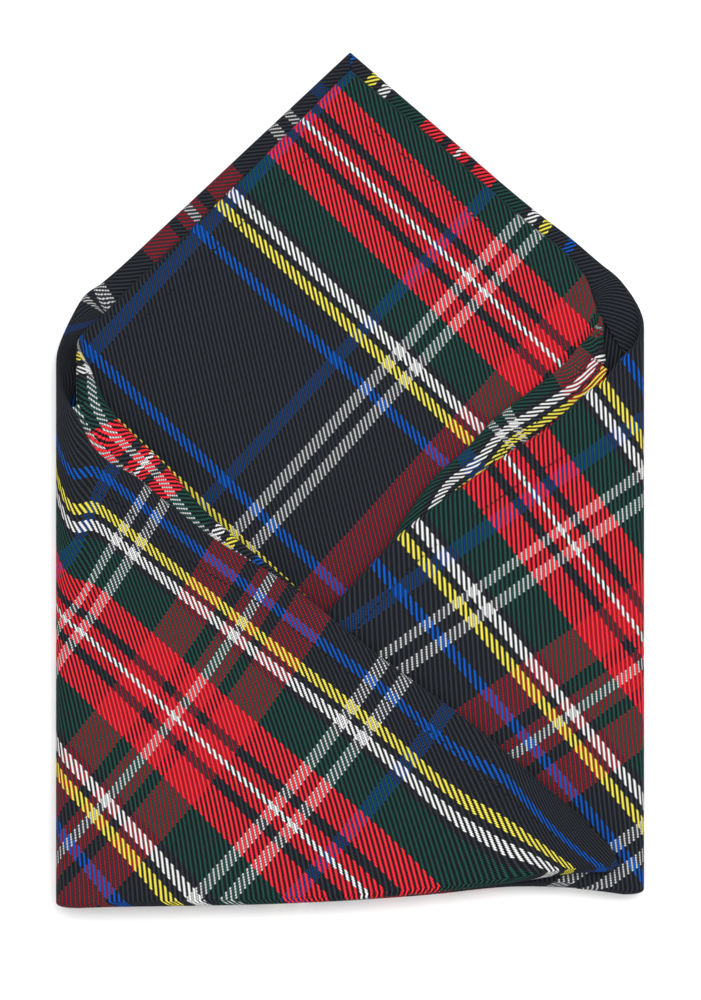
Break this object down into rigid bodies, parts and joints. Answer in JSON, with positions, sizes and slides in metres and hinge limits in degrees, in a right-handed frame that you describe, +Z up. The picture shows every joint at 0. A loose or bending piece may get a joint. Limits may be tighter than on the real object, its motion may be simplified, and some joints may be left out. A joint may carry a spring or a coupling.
{
  "type": "folded pocket square",
  "caption": "Hemmed tartan cloth square folded into a pocket square: a pointed back, a front panel and two corners folded across it.",
  "frame": {"origin": "middle of the underside of the folded square's box", "axes": "+Z up out of the surface it lies on, +Y towards the point of the fold, +X to the right"},
  "size_m": [0.1608, 0.2334, 0.01],
  "materials": {
    "tartan_wool": "matt twill-woven tartan",
    "sewing_thread": "matt spun thread"
  },
  "bodies": {
    "root": {"back_panel": "tartan_wool", "front_panel": "tartan_wool", "bottom_fold": "tartan_wool", "left_outer_crease": "tartan_wool", "left_inner_crease": "tartan_wool", "right_outer_crease": "tartan_wool", "right_inner_crease": "tartan_wool", "back_left_hem": "tartan_wool", "back_left_stitching": "sewing_thread", "back_right_hem": "tartan_wool", "back_right_stitching": "sewing_thread", "front_left_hem": "tartan_wool", "front_left_stitching": "sewing_thread", "front_right_hem": "tartan_wool", "front_right_stitching": "sewing_thread"},
    "right_inner": {"right_inner_flap": "tartan_wool", "right_inner_hem": "tartan_wool", "right_inner_stitching": "sewing_thread"},
    "right_outer": {"right_outer_flap": "tartan_wool", "right_outer_hem": "tartan_wool", "right_outer_stitching": "sewing_thread", "right_flap_bottom_fold": "tartan_wool"},
    "left_inner": {"left_inner_flap": "tartan_wool", "left_inner_hem": "tartan_wool", "left_inner_stitching": "sewing_thread"},
    "left_outer": {"left_outer_flap": "tartan_wool", "left_outer_hem": "tartan_wool", "left_outer_stitching": "sewing_thread", "left_flap_bottom_fold": "tartan_wool"}
  },
  "joints": [
    {"name": "left_outer_fold", "type": "hinge", "parent": "root", "child": "left_outer", "pos_m": [-0.08286, 0, 0.005], "axis": [0, -1, 0], "range_deg": [0, 180], "deforming": ["left_outer_crease"]},
    {"name": "left_inner_fold", "type": "hinge", "parent": "root", "child": "left_inner", "pos_m": [-0.07519, 0, 0.005], "axis": [0, -1, 0], "range_deg": [0, 180], "deforming": ["left_inner_crease"]},
    {"name": "right_outer_fold", "type": "hinge", "parent": "root", "child": "right_outer", "pos_m": [0.08195, 0, 0.0034], "axis": [0, 1, 0], "range_deg": [0, 180], "deforming": ["right_outer_crease", "right_outer_flap", "right_outer_hem", "right_outer_stitching", "right_flap_bottom_fold"]},
    {"name": "right_inner_fold", "type": "hinge", "parent": "root", "child": "right_inner", "pos_m": [0.07368, 0, 0.0034], "axis": [0, 1, 0], "range_deg": [0, 180], "deforming": ["right_inner_crease", "right_inner_flap", "right_inner_hem", "right_inner_stitching"]}
  ],
  "couplings": [
    {"joint": "left_inner_fold", "follows": "left_outer_fold", "ratio": 1},
    {"joint": "right_inner_fold", "follows": "right_outer_fold", "ratio": 1}
  ]
}
